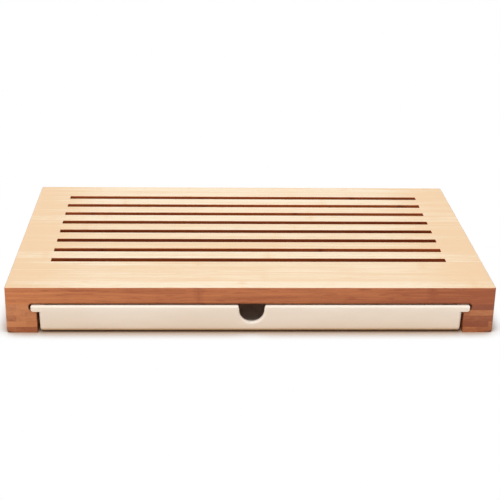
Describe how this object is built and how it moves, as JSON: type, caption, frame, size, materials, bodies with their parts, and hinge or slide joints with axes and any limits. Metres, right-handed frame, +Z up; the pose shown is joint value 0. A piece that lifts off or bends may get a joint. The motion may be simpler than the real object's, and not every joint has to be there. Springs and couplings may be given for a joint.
{
  "type": "crumb catcher bread board",
  "caption": "Bread board with a slotted bamboo top on grooved side rails and a shallow crumb tray that slides out at the front.",
  "frame": {"origin": "on the worktop, under the middle of the whole outline with the tray shut", "axes": "+X along the board, to the right as seen from the front; +Y from front to back; +Z up"},
  "size_m": [0.4, 0.2512, 0.04],
  "materials": {
    "bamboo_top": "oiled, satin",
    "bamboo_rail": "oiled, satin",
    "tray_plastic": "fine satin moulding"
  },
  "bodies": {
    "board": {"front_board": "bamboo_top", "back_board": "bamboo_top", "slat_1": "bamboo_top", "slat_2": "bamboo_top", "slat_3": "bamboo_top", "slat_4": "bamboo_top", "slat_5": "bamboo_top", "slat_6": "bamboo_top", "slat_7": "bamboo_top", "left_spacer_1": "bamboo_top", "left_spacer_2": "bamboo_top", "left_spacer_3": "bamboo_top", "left_spacer_4": "bamboo_top", "left_spacer_5": "bamboo_top", "left_spacer_6": "bamboo_top", "left_spacer_7": "bamboo_top", "left_spacer_8": "bamboo_top", "right_spacer_1": "bamboo_top", "right_spacer_2": "bamboo_top", "right_spacer_3": "bamboo_top", "right_spacer_4": "bamboo_top", "right_spacer_5": "bamboo_top", "right_spacer_6": "bamboo_top", "right_spacer_7": "bamboo_top", "right_spacer_8": "bamboo_top", "left_rail": "bamboo_rail", "right_rail": "bamboo_rail", "back_rail": "bamboo_rail"},
    "tray": {"crumb_tray": "tray_plastic"}
  },
  "joints": [
    {"name": "tray_slide", "type": "slide", "parent": "board", "child": "tray", "axis": [0, -1, 0], "range_m": [0, 0.235]}
  ]
}
